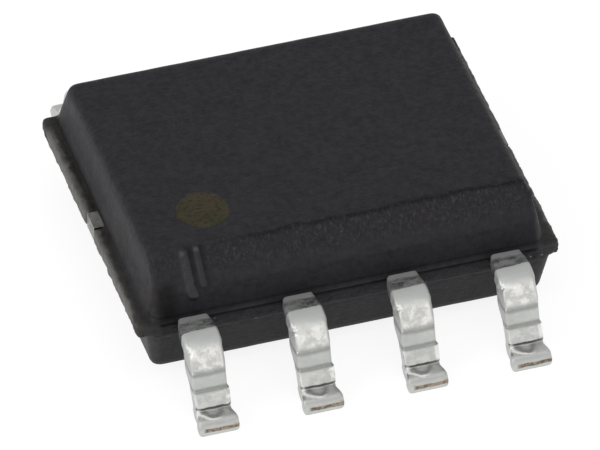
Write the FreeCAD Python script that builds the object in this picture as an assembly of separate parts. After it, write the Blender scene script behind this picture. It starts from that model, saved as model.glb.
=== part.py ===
import FreeCAD, Part
import math
import os

# An 8-lead small-outline integrated circuit with gull-wing leads, standing on its feet.
# Lengths are millimetres and angles are degrees.
# +X runs along the lead rows from pin 1 to pin 4, +Y from the front row to the back row,
# and +Z up. The origin is on the board, under the middle of the package.

Vec = FreeCAD.Vector

# Whole package
body_length = 4.80           # along X at the parting plane
body_width = 3.90            # along Y at the parting plane
body_height = 1.42           # underside to top face
standoff = 0.15              # board to underside
lead_reach = 1.05            # body's side to the end of a toe, so 6.00 over both rows
lead_pitch = 1.27
leads_per_row = 4

# Lead frame, stamped from one strip
frame_thickness = 0.20
frame_top = 0.93             # board to the upper face of the strip

# Moulding
side_draft = 17.0            # long sides above the leads, from the vertical
lower_side_draft = 10.0      # long sides below the leads
end_draft = 9.0              # short ends, from the vertical
corner_radius = 0.12         # upright corners, seen from above
top_edge_radius = 0.08
bevel_run = 0.40             # bevel along the pin 1 row, measured level
bevel_drop = 0.33            # the same bevel, measured upright
end_lip = 0.15               # resin lip at each short end, as thick as the strip
end_lip_setback = 0.02       # lip's corner inside the body's long side
groove_height = 0.04         # dark line under the upper half, along the leads
groove_depth = 0.025
groove_below_frame_top = 0.04
groove_end_margin = 0.16     # groove stops this far from each short end
index_mark_radius = 0.31     # round mark on the top face beside pin 1
index_mark_depth = 0.012
index_mark_from_pin_1 = 0.44   # towards the middle of the row
index_mark_from_bevel = 0.55   # from the bevel's upper edge to the mark's centre
rib_widths = (0.17, 0.09)    # two ribs on the bevel beside pin 1
rib_gap = 0.04
rib_from_pin_1 = -0.05       # first rib's outer edge, from the pin's centre line
rib_proud = 0.022
rib_overrun = 0.07           # rib reaches past the bevel's lower edge
rib_root = 0.06              # how deep a rib is rooted in the bevel

# Gull-wing form, given on the upper face of the lead
foot_flat = 0.22             # toe to ankle
ankle_rise = 0.19            # from the foot's upper face to the kink in the leg
lower_leg_angle = 35.0       # from the vertical
upper_leg_angle = 17.0       # from the vertical
shoulder_inside_radius = 0.09
kink_inside_radius = 0.05
ankle_inside_radius = 0.04

# Lead widths along the lead, from the body outwards
neck_width = 0.36
tie_stub_width = 0.47        # stubs left where the strip's cross ties were cut off
leg_width = 0.43
foot_width = 0.48
tie_stub_start = 0.08        # from the body's side
tie_stub_length = 0.28
tie_stub_taper = 0.12        # length over which the stubs run out into the leg
width_step = 0.03            # length of each other change of width

# Fingers inside the moulding
finger_bend = 0.25           # body's side to where a finger turns inwards
finger_tip_pitch = 0.95
finger_tip_width = 0.45
finger_gap = 0.20            # finger tips to the die paddle

# Die paddle and its two tie bars
paddle_length = 2.40
paddle_width = 1.90
paddle_downset = 0.18
tie_bar_width = 0.28
tie_bar_bend_from_paddle = 0.30
tie_bar_slope_run = 0.25
tie_bar_bend_radius = 0.04

# Die and its attach layer
die_length = 1.80
die_width = 1.30
die_thickness = 0.28
attach_thickness = 0.025
attach_margin = 0.03

# Bond wires
wire_diameter = 0.038
wire_sides = 12              # flats that stand for the round section
ball_diameter = 0.09
ball_height = 0.02
stitch_diameter = 0.08
stitch_height = 0.012
wire_neck = 0.09             # upright run above the die
wire_rise = 0.14             # die to the top of the loop
wire_knee_run = 0.05         # pad to the top of the loop, measured level
bond_pad_pitch = 0.46
bond_pad_inset = 0.10        # die's edge to the bond's centre
stitch_inset = 0.12          # finger's tip to the bond's centre

# Heights and faces that follow from the sizes above
body_side = body_width / 2
body_end = body_length / 2
lip_end = body_end + end_lip
body_top = standoff + body_height
frame_bottom = frame_top - frame_thickness
toe_out = body_side + lead_reach
paddle_top = frame_top - paddle_downset
die_bottom = paddle_top + attach_thickness
die_top = die_bottom + die_thickness
finger_tip_out = paddle_width / 2 + finger_gap


def tan_deg(angle):
    return math.tan(math.radians(angle))


def box(x_low, x_high, y_low, y_high, z_low, z_high):
    return Part.makeBox(x_high - x_low, y_high - y_low, z_high - z_low, Vec(x_low, y_low, z_low))


def prism(points, direction):
    """Solid swept straight from the closed outline through the points."""
    outline = Part.makePolygon(points + [points[0]])
    return Part.Face(outline).extrude(direction)


# Rounded chains, for bent strip and bond wires

def rounded_chain(points, radii):
    """Edges through the points, with an arc of its own radius at each inner corner."""
    edges = []
    start = points[0]
    for before, corner, after, radius in zip(points, points[1:], points[2:], radii):
        back = (before - corner).normalize()
        ahead = (after - corner).normalize()
        half_angle = back.getAngle(ahead) / 2
        reach = radius / math.tan(half_angle)
        middle = (back + ahead).normalize()
        centre = corner + middle * (radius / math.sin(half_angle))
        arc_start = corner + back * reach
        arc_end = corner + ahead * reach
        edges.append(Part.LineSegment(start, arc_start).toShape())
        edges.append(Part.Arc(arc_start, centre - middle * radius, arc_end).toShape())
        start = arc_end
    edges.append(Part.LineSegment(start, points[-1]).toShape())
    return edges


def offset_chain(points, distance):
    """Corner points of a chain beside the given one, at the distance, in (run, height)."""
    normals = []
    for first, second in zip(points, points[1:]):
        length = math.hypot(second[0] - first[0], second[1] - first[1])
        normals.append(((second[1] - first[1]) / length, (first[0] - second[0]) / length))
    moved = [(points[0][0] + normals[0][0] * distance, points[0][1] + normals[0][1] * distance)]
    for corner, near, far in zip(points[1:], normals, normals[1:]):
        share = distance / (1 + near[0] * far[0] + near[1] * far[1])
        moved.append((corner[0] + (near[0] + far[0]) * share, corner[1] + (near[1] + far[1]) * share))
    last = points[-1]
    moved.append((last[0] + normals[-1][0] * distance, last[1] + normals[-1][1] * distance))
    return moved


def turns_down(before, corner, after):
    """True where a chain that runs outwards bends clockwise, towards its lower side."""
    cross = ((corner[0] - before[0]) * (after[1] - corner[1])
             - (corner[1] - before[1]) * (after[0] - corner[0]))
    return cross < 0


def bent_strip(upper, inside_radii, width, place, across):
    """Strip of the frame's thickness under the chain, bent with the inside radii.

    place turns (run, height) into a point on one side of the strip, and across is the
    direction of its width.
    """
    lower = offset_chain(upper, frame_thickness)
    upper_radii = []
    lower_radii = []
    for before, corner, after, radius in zip(upper, upper[1:], upper[2:], inside_radii):
        outside = radius + frame_thickness
        down = turns_down(before, corner, after)
        upper_radii.append(outside if down else radius)
        lower_radii.append(radius if down else outside)
    top_points = [place(*point) for point in upper]
    bottom_points = [place(*point) for point in lower]
    edges = rounded_chain(top_points, upper_radii) + rounded_chain(bottom_points, lower_radii)
    edges.append(Part.LineSegment(top_points[0], bottom_points[0]).toShape())
    edges.append(Part.LineSegment(top_points[-1], bottom_points[-1]).toShape())
    face = Part.Face(Part.Wire(Part.__sortEdges__(edges)))
    return face.extrude(across * width)


# Leads

def lead_upper_chain():
    """Upper face of a lead outside the body, as (distance out, height) corners."""
    ankle = (toe_out - foot_flat, frame_thickness)
    kink = (ankle[0] - ankle_rise * tan_deg(lower_leg_angle), ankle[1] + ankle_rise)
    shoulder_out = kink[0] - (frame_top - kink[1]) * tan_deg(upper_leg_angle)
    return [(body_side, frame_top), (shoulder_out, frame_top), kink, ankle, (toe_out, frame_thickness)]


def lead_plan(x_centre):
    """Outline of a lead outside the body, seen from above, with its stubs and wider foot."""
    kink_out = lead_upper_chain()[2][0]
    stub_start = body_side + tie_stub_start
    stub_end = stub_start + tie_stub_length
    stations = [(body_side, neck_width),
                (stub_start - width_step, neck_width),
                (stub_start, tie_stub_width),
                (stub_end, tie_stub_width),
                (stub_end + tie_stub_taper, leg_width),
                (kink_out, leg_width),
                (kink_out + width_step, foot_width),
                (toe_out, foot_width)]
    right = [Vec(x_centre + width / 2, -out, 0) for out, width in stations]
    left = [Vec(x_centre - width / 2, -out, 0) for out, width in reversed(stations)]
    return prism(right + left, Vec(0, 0, frame_top))


def gull_wing(x_centre):
    """The part of a front lead that stands outside the body."""
    widest = max(tie_stub_width, foot_width, leg_width, neck_width)
    radii = [shoulder_inside_radius, kink_inside_radius, ankle_inside_radius]
    strip = bent_strip(lead_upper_chain(), radii, widest,
                       lambda out, height: Vec(x_centre - widest / 2, -out, height), Vec(1, 0, 0))
    return strip.common(lead_plan(x_centre))


def finger(x_centre, tip_x):
    """The part of a front lead inside the body, from its side to the finger's tip."""
    bend_out = body_side - finger_bend
    outline = [(x_centre - neck_width / 2, body_side),
               (x_centre + neck_width / 2, body_side),
               (x_centre + neck_width / 2, bend_out),
               (tip_x + finger_tip_width / 2, finger_tip_out),
               (tip_x - finger_tip_width / 2, finger_tip_out),
               (x_centre - neck_width / 2, bend_out)]
    return prism([Vec(x, -out, frame_bottom) for x, out in outline], Vec(0, 0, frame_thickness))


def front_lead(place):
    steps_from_middle = place - (leads_per_row - 1) / 2
    x_centre = steps_from_middle * lead_pitch
    tip_x = steps_from_middle * finger_tip_pitch
    return gull_wing(x_centre).fuse(finger(x_centre, tip_x)).removeSplitter()


def to_back_row(shape):
    """Copy turned half round, which carries pin 1 to pin 5 and pin 4 to pin 8."""
    turned = shape.copy()
    turned.rotate(Vec(0, 0, 0), Vec(0, 0, 1), 180)
    return turned


# Die paddle, die and bond wires

def die_paddle():
    """Paddle with two tie bars that step up to the strip's level and end in the lips."""
    half = paddle_length / 2
    low_bend = half + tie_bar_bend_from_paddle
    high_bend = low_bend + tie_bar_slope_run
    chain = [(-lip_end, frame_top), (-high_bend, frame_top), (-low_bend, paddle_top),
             (low_bend, paddle_top), (high_bend, frame_top), (lip_end, frame_top)]
    bars = bent_strip(chain, [tie_bar_bend_radius] * 4, tie_bar_width,
                      lambda run, height: Vec(run, -tie_bar_width / 2, height), Vec(0, 1, 0))
    plate = box(-half, half, -paddle_width / 2, paddle_width / 2, paddle_top - frame_thickness, paddle_top)
    return bars.fuse(plate).removeSplitter()


def die_attach():
    half_x = die_length / 2 + attach_margin
    half_y = die_width / 2 + attach_margin
    return box(-half_x, half_x, -half_y, half_y, paddle_top, die_bottom)


def silicon_die():
    return box(-die_length / 2, die_length / 2, -die_width / 2, die_width / 2, die_bottom, die_top)


def wire_section(centre):
    """Outline of a bond wire, level, round its centre."""
    step = 2 * math.pi / wire_sides
    rim = [centre + Vec(math.cos(side * step), math.sin(side * step), 0) * (wire_diameter / 2)
           for side in range(wire_sides)]
    return Part.makePolygon(rim + [rim[0]])


def front_bond_wire(place, lead, die):
    """Gold wire from the die to a front finger, with its ball and its stitch."""
    steps_from_middle = place - (leads_per_row - 1) / 2
    pad = Vec(steps_from_middle * bond_pad_pitch, -(die_width / 2 - bond_pad_inset), die_top)
    stitch = Vec(steps_from_middle * finger_tip_pitch, -(finger_tip_out + stitch_inset), frame_top)
    level = Vec(stitch.x - pad.x, stitch.y - pad.y, 0).normalize()
    knee = pad + level * wire_knee_run + Vec(0, 0, wire_rise)
    path = Part.makePolygon([pad, pad + Vec(0, 0, wire_neck), knee, stitch])
    mitred = 1
    run = path.makePipeShell([wire_section(pad)], True, False, mitred)
    ball = Part.makeCylinder(ball_diameter / 2, ball_height, pad)
    foot = Part.makeCylinder(stitch_diameter / 2, stitch_height, stitch)
    wire = ball.fuse([run, foot])
    return wire.cut([lead, die]).removeSplitter()


# Moulded body

def rounded_outline(length, width, height):
    """Closed outline round the Z axis at the height, with round corners."""
    x = length / 2
    y = width / 2
    r = corner_radius
    bulge = r * (1 - math.sqrt(0.5))
    edges = []
    for turn in range(4):
        half_x, half_y = (x, y) if turn % 2 == 0 else (y, x)
        line = Part.LineSegment(Vec(-half_x + r, -half_y, height), Vec(half_x - r, -half_y, height))
        arc = Part.Arc(Vec(half_x - r, -half_y, height),
                       Vec(half_x - bulge, -half_y + bulge, height),
                       Vec(half_x, -half_y + r, height))
        for edge in (line.toShape(), arc.toShape()):
            edge.rotate(Vec(0, 0, 0), Vec(0, 0, 1), 90 * turn)
            edges.append(edge)
    return Part.Wire(edges)


def mould_half(parting, far, long_side_draft):
    """Solid from the parting height to the far face, drawn in by the drafts."""
    depth = abs(far - parting)
    length = body_length - 2 * depth * tan_deg(end_draft)
    width = body_width - 2 * depth * tan_deg(long_side_draft)
    outlines = [rounded_outline(body_length, body_width, parting), rounded_outline(length, width, far)]
    return Part.makeLoft(outlines, True, True)


def edges_at(shape, height):
    return [edge for edge in shape.Edges
            if abs(edge.BoundBox.ZMin - height) < 1e-6 and abs(edge.BoundBox.ZMax - height) < 1e-6]


def bevel_corners():
    """Lower and upper corner of the bevel, as points in the middle of the package."""
    low_z = body_top - bevel_drop
    low_y = -(body_side - (low_z - frame_top) * tan_deg(side_draft))
    return Vec(0, low_y, low_z), Vec(0, low_y + bevel_run, body_top)


def bevel_cutter():
    """Wedge that takes the bevel off, reaching past the top and the front."""
    low, high = bevel_corners()
    slope = high - low
    below = low - slope - Vec(body_length, 0, 0)
    above = high + slope - Vec(body_length, 0, 0)
    return prism([below, above, Vec(below.x, below.y, above.z)], Vec(2 * body_length, 0, 0))


def bevel_rib(x_left, width):
    """Rib down the bevel, with a round lower end."""
    low, high = bevel_corners()
    down = (low - high).normalize()
    outward = down.cross(Vec(1, 0, 0)).normalize()
    sink = outward * -rib_root
    top = high + down * rib_root + sink
    end = low + down * (rib_overrun - width / 2) + sink
    left = Vec(x_left, 0, 0)
    right = Vec(x_left + width, 0, 0)
    nose = Vec(x_left + width / 2, 0, 0) + down * (width / 2)
    outline = Part.Wire([Part.LineSegment(top + left, end + left).toShape(),
                         Part.Arc(end + left, end + nose, end + right).toShape(),
                         Part.LineSegment(end + right, top + right).toShape(),
                         Part.LineSegment(top + right, top + left).toShape()])
    return Part.Face(outline).extrude(outward * (rib_root + rib_proud))


def bevel_ribs():
    pin_1_x = -(leads_per_row - 1) / 2 * lead_pitch
    left = pin_1_x + rib_from_pin_1
    ribs = []
    for width in rib_widths:
        ribs.append(bevel_rib(left, width))
        left += width + rib_gap
    return ribs


def index_mark():
    pin_1_x = -(leads_per_row - 1) / 2 * lead_pitch
    centre_y = bevel_corners()[1].y + index_mark_from_bevel
    base = Vec(pin_1_x + index_mark_from_pin_1, centre_y, body_top - index_mark_depth)
    return Part.makeCylinder(index_mark_radius, 2 * index_mark_depth, base)


def side_grooves():
    """Narrow grooves under the upper half, along both lead rows."""
    top = frame_top - groove_below_frame_top
    half = body_end - groove_end_margin
    return [box(-half, half, side * body_side - groove_depth, side * body_side + groove_depth,
                top - groove_height, top) for side in (-1, 1)]


def body_shell():
    """Outer form of the moulding, still solid inside."""
    upper = mould_half(frame_top, body_top, side_draft)
    upper = upper.makeFillet(top_edge_radius, edges_at(upper, body_top))
    upper = upper.cut(bevel_cutter()).fuse(bevel_ribs())
    band = Part.Face(rounded_outline(body_length, body_width, frame_bottom))
    band = band.extrude(Vec(0, 0, frame_thickness))
    lip_side = body_side - end_lip_setback
    lips = box(-lip_end, lip_end, -lip_side, lip_side, frame_bottom, frame_top)
    lower = mould_half(frame_bottom, standoff, lower_side_draft)
    whole = upper.fuse([band, lips, lower]).removeSplitter()
    return whole.cut(side_grooves() + [index_mark()])


def moulded_body(inner_pieces):
    """The moulding with a close-fitting hollow round every piece that it holds."""
    return body_shell().cut(inner_pieces)


def main():
    die = silicon_die()
    pieces = {"die_paddle": die_paddle(), "die_attach": die_attach(), "silicon_die": die}
    for place in range(leads_per_row):
        lead = front_lead(place)
        wire = front_bond_wire(place, lead, die)
        front_pin = place + 1
        back_pin = front_pin + leads_per_row
        pieces[f"lead_{front_pin}"] = lead
        pieces[f"lead_{back_pin}"] = to_back_row(lead)
        pieces[f"bond_wire_{front_pin}"] = wire
        pieces[f"bond_wire_{back_pin}"] = to_back_row(wire)
    pieces["moulded_body"] = moulded_body(list(pieces.values()))
    os.makedirs("parts", exist_ok=True)
    for name, shape in pieces.items():
        print(name, shape.ShapeType, "solids", len(shape.Solids), "valid", shape.isValid(),
              "volume", round(shape.Volume, 5))
        shape.exportStep(f"parts/{name}.step")


main()
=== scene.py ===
import bmesh
import bpy
import math
from mathutils import Matrix, Vector


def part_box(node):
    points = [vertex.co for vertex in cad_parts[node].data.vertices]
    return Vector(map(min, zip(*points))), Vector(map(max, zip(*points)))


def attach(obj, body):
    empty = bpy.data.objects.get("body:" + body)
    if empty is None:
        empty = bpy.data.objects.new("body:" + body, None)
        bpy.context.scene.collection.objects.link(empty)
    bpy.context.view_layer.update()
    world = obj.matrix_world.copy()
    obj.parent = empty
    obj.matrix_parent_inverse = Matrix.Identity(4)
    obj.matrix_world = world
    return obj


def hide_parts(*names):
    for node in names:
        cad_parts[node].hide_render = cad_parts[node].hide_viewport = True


# Small-outline chip on a pale floor. Pieces are modelled in millimetres, then brought to metres.
# +X runs along the lead rows, -Y is the front row's side and +Z is up.

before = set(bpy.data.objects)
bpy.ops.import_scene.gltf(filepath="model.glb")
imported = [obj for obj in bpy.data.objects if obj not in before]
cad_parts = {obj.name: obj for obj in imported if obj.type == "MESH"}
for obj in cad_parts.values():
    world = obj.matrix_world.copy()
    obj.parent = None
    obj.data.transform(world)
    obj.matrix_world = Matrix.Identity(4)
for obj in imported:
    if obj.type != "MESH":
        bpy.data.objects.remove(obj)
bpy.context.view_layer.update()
body_low, body_high = (corner * 1000 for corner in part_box("moulded_body"))
lead_low, lead_high = (corner * 1000 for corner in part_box("lead_1"))

# Sizes from the frame
LIP_END = body_high.x
BODY_SIDE = body_high.y
BODY_TOP = body_high.z
BODY_BOTTOM = body_low.z
FRAME_TOP = lead_high.z
TOE_OUT = -lead_low.y

# Lead frame
STRIP = 0.20
FRAME_BOTTOM = FRAME_TOP - STRIP
PITCH = 1.27
PINS_PER_ROW = 4
NECK_WIDTH = 0.36
STUB_WIDTH = 0.445
LEG_WIDTH = 0.42
BAND_WIDTH = 0.44
ANKLE_WIDTH = 0.425
FOOT_WIDTH = 0.485
SHOULDER_START = 2.185
SHOULDER_RADIUS = 0.20
SHOULDER_TURNS = (36, 37)
KINK_TURN = 12
LEAD_EDGE_ROUND = 0.04
UPPER_RIDGE = 0.612
LOWER_RIDGE = 0.402
UPPER_RIDGE_STEP = 0.018
LOWER_RIDGE_STEP = 0.027
ANKLE_TOP = 0.225
ANKLE_TUCK = 0.022
TOE_RIM = 0.03
TOE_DROOP = 0.062
DENT_FROM_TOE = 0.145
INNER_SWELL = 0.14
LEG_SHIFT = 0.006
FINGER_PITCH = 0.95
FINGER_TIP_OUT = 1.15
FINGER_TIP_WIDTH = 0.45
FINGER_BEND_OUT = 1.70

# Moulding
LIP = 0.15
LIP_OVERHANG = 0.02
LIP_CORNER_RADIUS = 0.055
LIP_EDGE_RADIUS = 0.015
BODY_END = LIP_END - LIP
LOWER_OVERHANG = 0.070
HALVES_OFFSET = 0.020
HALVES_STEP = 0.01
BOTTOM_EDGE_RADIUS = 0.06
SIDE_DRAFT = 17
LOWER_SIDE_DRAFT = 10
END_DRAFT = 9
CORNER_RADIUS = 0.12
TOP_EDGE_RADIUS = 0.14
EDGE_RADIUS = 0.03
BEVEL_RUN = 0.40
BEVEL_DROP = 0.33
GROOVE_TOP = FRAME_TOP - 0.035
GROOVE_HEIGHT = 0.05
GROOVE_DEPTH = 0.05
TIE_BAR_WIDTH = 0.28
MARK_CENTRE = (-1.465, -0.90)
MARK_RADIUS = 0.31
GRAIN_STEP = 0.026

# Each rib's left edge, width at the top, width, start below the bevel's upper edge and overrun
# past its lower one
RIBS = ((-1.955, 0.10, 0.17, 0.05, 0.105), (-1.775, 0.07, 0.08, 0.0, 0.0))

# Places in a mesh that are closer than this count as one
SAME_PLACE = 1e-4

# Stage, in metres and degrees
FLOOR_SIZE = 2.0
FLOOR_LEVEL = -2e-6
FLOOR_GLOW = 1.15
FLOOR_SHARE = 0.75
SKY_UP = 0.72
SKY_SIDE = 0.72
CAMERA_AZIMUTH = -18.22
CAMERA_ELEVATION = 41.09
CAMERA_ROLL = 0.72
CAMERA_DISTANCE = 0.1215
CAMERA_TARGET = (-0.000129, -0.000466, 0.000631)
CAMERA_LENS = 622.2


# Modelling helpers

def start_block(name, size, centre):
    """Block of the size round the centre, left in edit mode with nothing selected."""
    bpy.ops.object.select_all(action="DESELECT")
    bpy.ops.mesh.primitive_cube_add(size=1)
    block = bpy.context.object
    block.name = name
    bpy.ops.object.mode_set(mode="EDIT")
    resize(size)
    shift(centre)
    bpy.ops.mesh.select_all(action="DESELECT")
    return block


def pick(block, kind, wanted):
    """Selects the verts, edges or faces of the block in edit mode for which wanted is true."""
    bpy.ops.mesh.select_all(action="DESELECT")
    bpy.ops.mesh.select_mode(type={"verts": "VERT", "edges": "EDGE", "faces": "FACE"}[kind])
    mesh = bmesh.from_edit_mesh(block.data)
    mesh.normal_update()
    for item in getattr(mesh, kind):
        item.select_set(bool(wanted(item)))
    mesh.select_flush_mode()
    bmesh.update_edit_mesh(block.data)


def pick_side(block, direction):
    pick(block, "faces", lambda face: face.normal.dot(Vector(direction)) > 0.99)


def edges_along(direction):
    def wanted(edge):
        run = edge.verts[1].co - edge.verts[0].co
        return abs(run.normalized().dot(Vector(direction))) > 0.99
    return wanted


def extrude(offset):
    bpy.ops.mesh.extrude_region_move(TRANSFORM_OT_translate={"value": offset})


def resize(factors, centre=(0, 0, 0)):
    bpy.ops.transform.resize(value=factors, center_override=centre)


def shift(offset):
    bpy.ops.transform.translate(value=offset)


def round_edges(radius, segments):
    bpy.ops.mesh.bevel(offset=radius, segments=segments, affect="EDGES")


def make_active(block):
    if bpy.context.mode != "OBJECT":
        bpy.ops.object.mode_set(mode="OBJECT")
    bpy.ops.object.select_all(action="DESELECT")
    block.select_set(True)
    bpy.context.view_layer.objects.active = block


def modify(block, kind, **settings):
    """Adds a modifier with the settings and applies it."""
    make_active(block)
    modifier = block.modifiers.new(kind.lower(), kind)
    for name, value in settings.items():
        setattr(modifier, name, value)
    bpy.ops.object.modifier_apply(modifier=modifier.name)


def join(blocks):
    make_active(blocks[0])
    for block in blocks:
        block.select_set(True)
    bpy.ops.object.join()
    return blocks[0]


def cut_away(block, cutter):
    modify(block, "BOOLEAN", operation="DIFFERENCE", solver="EXACT", object=cutter)
    bpy.data.objects.remove(cutter)


def to_metres(block):
    """Brings a finished piece from millimetres to metres, about the origin."""
    make_active(block)
    block.scale = (0.001, 0.001, 0.001)
    bpy.ops.object.transform_apply(location=True, rotation=True, scale=True)
    bpy.ops.object.shade_smooth()


def clouds(name, size, depth=2):
    texture = bpy.data.textures.new(name, "CLOUDS")
    texture.noise_scale = size
    texture.noise_depth = depth
    texture.noise_basis = "IMPROVED_PERLIN"
    return texture


def tan_deg(angle):
    return math.tan(math.radians(angle))


# Leads

class Strip:
    """A strip that is drawn out as its end face is extruded, bent and stepped.

    place is a point (out, height) on the strip's upper face, and heading is the angle below
    the level in degrees.
    """

    def __init__(self, place, width):
        self.place = Vector(place)
        self.width = width
        self.heading = 0.0

    def ahead(self):
        angle = math.radians(self.heading)
        return Vector((math.cos(angle), -math.sin(angle)))

    def up(self):
        angle = math.radians(self.heading)
        return Vector((math.sin(angle), math.cos(angle)))

    def move(self, offset, width=None):
        extrude((0, -offset.x, offset.y))
        self.place += offset
        if width:
            resize((width / self.width, 1, 1))
            self.width = width

    def go_out(self, out, width=None):
        self.move(self.ahead() * ((out - self.place.x) / self.ahead().x), width)

    def go_down(self, height, width=None):
        self.move(self.ahead() * ((height - self.place.y) / self.ahead().y), width)

    def ledge(self, step, width=None):
        """Small shelf where the strip steps away from the body, or back for a negative step."""
        self.move(self.ahead() * 0.010 + self.up() * step, width)

    def bend(self, angle, inside_radius, steps):
        """Downwards for a positive angle, upwards for a negative one."""
        reach = -(STRIP + inside_radius) if angle > 0 else inside_radius
        centre = self.place + self.up() * reach
        turn = math.radians(angle)
        bpy.ops.mesh.spin(steps=steps, angle=-turn, center=(0, -centre.x, centre.y), axis=(1, 0, 0))
        self.place = centre + Matrix.Rotation(-turn, 2) @ (self.place - centre)
        self.heading += angle


def press(block, place, depth, reach):
    """Pushes the surface down at the place, fading out over the reach."""
    here = Vector(place)
    mesh = bmesh.from_edit_mesh(block.data)
    nearest = min(mesh.verts, key=lambda vert: (vert.co - here).length)
    spot = nearest.co.copy()
    pick(block, "verts", lambda vert: (vert.co - spot).length < 1e-6)
    bpy.ops.transform.translate(value=depth, use_proportional_edit=True,
                                proportional_edit_falloff="SMOOTH", proportional_size=reach)


def start_lead():
    """Finger and neck inside the moulding, with the neck's outer face selected, and the strip to draw on."""
    root_out = BODY_SIDE - 0.10
    block = start_block("lead", (NECK_WIDTH, root_out - FINGER_BEND_OUT, STRIP),
                        (0, -(root_out + FINGER_BEND_OUT) / 2, FRAME_TOP - STRIP / 2))
    pick(block, "edges", edges_along((0, 1, 0)))
    round_edges(LEAD_EDGE_ROUND, 4)
    pick_side(block, (0, 1, 0))
    extrude((0, FINGER_BEND_OUT - FINGER_TIP_OUT, 0))
    resize((FINGER_TIP_WIDTH / NECK_WIDTH, 1, 1))
    pick_side(block, (0, -1, 0))
    return block, Strip((root_out, FRAME_TOP), NECK_WIDTH)


def draw_leg(strip):
    """Draws the strip over the shoulder, down past both ridges and along the foot to the toe."""
    strip.go_out(BODY_SIDE + 0.03)
    strip.go_out(BODY_SIDE + 0.08, 0.40)
    strip.go_out(BODY_SIDE + 0.15, 0.435)
    strip.go_out(SHOULDER_START, STUB_WIDTH)
    first_turn, second_turn = SHOULDER_TURNS
    strip.bend(first_turn, SHOULDER_RADIUS, 6)
    resize((LEG_WIDTH / STUB_WIDTH, 1, 1))
    strip.width = LEG_WIDTH
    strip.bend(second_turn, SHOULDER_RADIUS, 6)
    strip.go_down(UPPER_RIDGE)
    strip.ledge(UPPER_RIDGE_STEP)
    shift((-LEG_SHIFT, 0, 0))
    for height in (0.57, 0.50, 0.44, LOWER_RIDGE):
        strip.go_down(height)
    strip.ledge(LOWER_RIDGE_STEP, BAND_WIDTH)
    shift((LEG_SHIFT, 0, 0))
    strip.bend(-KINK_TURN, 0.05, 2)
    for height in (0.33, 0.27):
        strip.go_down(height)
    strip.go_down(ANKLE_TOP, ANKLE_WIDTH)
    strip.ledge(-ANKLE_TUCK)
    strip.bend(KINK_TURN - sum(SHOULDER_TURNS), 0.02, 4)
    strip.go_out(strip.place.x + 0.04, ANKLE_WIDTH + 0.015)
    strip.go_out(TOE_OUT - 0.13, FOOT_WIDTH - 0.015)
    strip.go_out(TOE_OUT - 0.07, FOOT_WIDTH)
    strip.go_out(TOE_OUT - TOE_RIM)
    strip.go_out(TOE_OUT)


def shear_toe(block):
    """Lets the foot's end droop and rounds the edges of its cut face."""
    for place, drop in ((TOE_OUT - TOE_RIM, 0.016), (TOE_OUT, TOE_DROOP)):
        pick(block, "verts", lambda vert: abs(vert.co.y + place) < SAME_PLACE and vert.co.z > STRIP * 0.6)
        shift((0, 0, -drop))
    pick(block, "edges", lambda edge: all(face.normal.y < -0.9 or abs(face.normal.y) < 0.3
                                          for face in edge.link_faces)
         and all(abs(vert.co.y + TOE_OUT) < SAME_PLACE for vert in edge.verts))
    round_edges(0.014, 2)


def swell_inner_side(block):
    """Swells the inner side of the upper leg, and draws in the lower leg's inner left edge."""
    pick(block, "verts", lambda vert: vert.normal.y > 0.3 and LOWER_RIDGE + 0.02 < vert.co.z < 0.86
         and vert.co.y < -(BODY_SIDE + 0.1))
    shift((0, INNER_SWELL, 0))
    pick(block, "verts", lambda vert: vert.normal.y > 0.3 and vert.co.x < 0 and 0.15 < vert.co.z < LOWER_RIDGE
         and vert.co.y < -(BODY_SIDE + 0.1))
    shift((0.03, 0, 0))


def front_lead():
    """A front lead round X = 0, from the finger inside the body to the toe."""
    block, strip = start_lead()
    draw_leg(strip)
    shear_toe(block)
    swell_inner_side(block)
    modify(block, "SUBSURF", levels=1, render_levels=1)
    bpy.ops.object.mode_set(mode="EDIT")
    press(block, (-0.02, -(TOE_OUT - DENT_FROM_TOE), STRIP), (0, 0, -0.030), 0.12)
    press(block, (-0.21, -2.45, 0.845), (0.016, 0.012, -0.016), 0.05)
    make_active(block)
    modify(block, "DISPLACE", texture=clouds("rolled_strip", 0.14), strength=0.012, mid_level=0.5,
           texture_coords="LOCAL")
    cut_sides = block.data.attributes.new("cut_side", "FLOAT", "POINT")
    for vert in block.data.vertices:
        cut_sides.data[vert.index].value = rise(abs(vert.normal.x), 0.75, 0.95)
    return block


def copy_lead(pattern, pin, pin_x, back_row, finger_shift):
    """Copy of the lead with its own mesh, its finger leaning towards the die."""
    lead = pattern.copy()
    lead.data = pattern.data.copy()
    lead.name = f"formed_lead_{pin}"
    bpy.context.collection.objects.link(lead)
    make_active(lead)
    bpy.ops.object.mode_set(mode="EDIT")
    pick(lead, "verts", lambda vert: vert.co.y > -(FINGER_TIP_OUT + 0.01))
    shift((finger_shift, 0, 0))
    bpy.ops.mesh.select_all(action="SELECT")
    shift((pin_x, 0, 0))
    if back_row:
        bpy.ops.transform.rotate(value=math.pi, orient_axis="Z", center_override=(0, 0, 0))
    to_metres(lead)
    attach(lead, "root")
    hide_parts(f"lead_{pin}")
    return lead


def build_leads():
    pattern = front_lead()
    leads = []
    for place in range(PINS_PER_ROW):
        steps = place - (PINS_PER_ROW - 1) / 2
        pin_x = steps * PITCH
        finger_shift = steps * FINGER_PITCH - pin_x
        leads.append(copy_lead(pattern, place + 1, pin_x, False, finger_shift))
        leads.append(copy_lead(pattern, place + 1 + PINS_PER_ROW, pin_x, True, finger_shift))
    bpy.data.objects.remove(pattern)
    return leads


# Moulding

def draw_half(block, direction, depth, side_draft):
    """Extrudes one half of the mould from the frame's level and draws it in by the drafts."""
    pick_side(block, direction)
    extrude(Vector(direction) * depth)
    resize((1 - depth * tan_deg(END_DRAFT) / BODY_END, 1 - depth * tan_deg(side_draft) / BODY_SIDE, 1))


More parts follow.
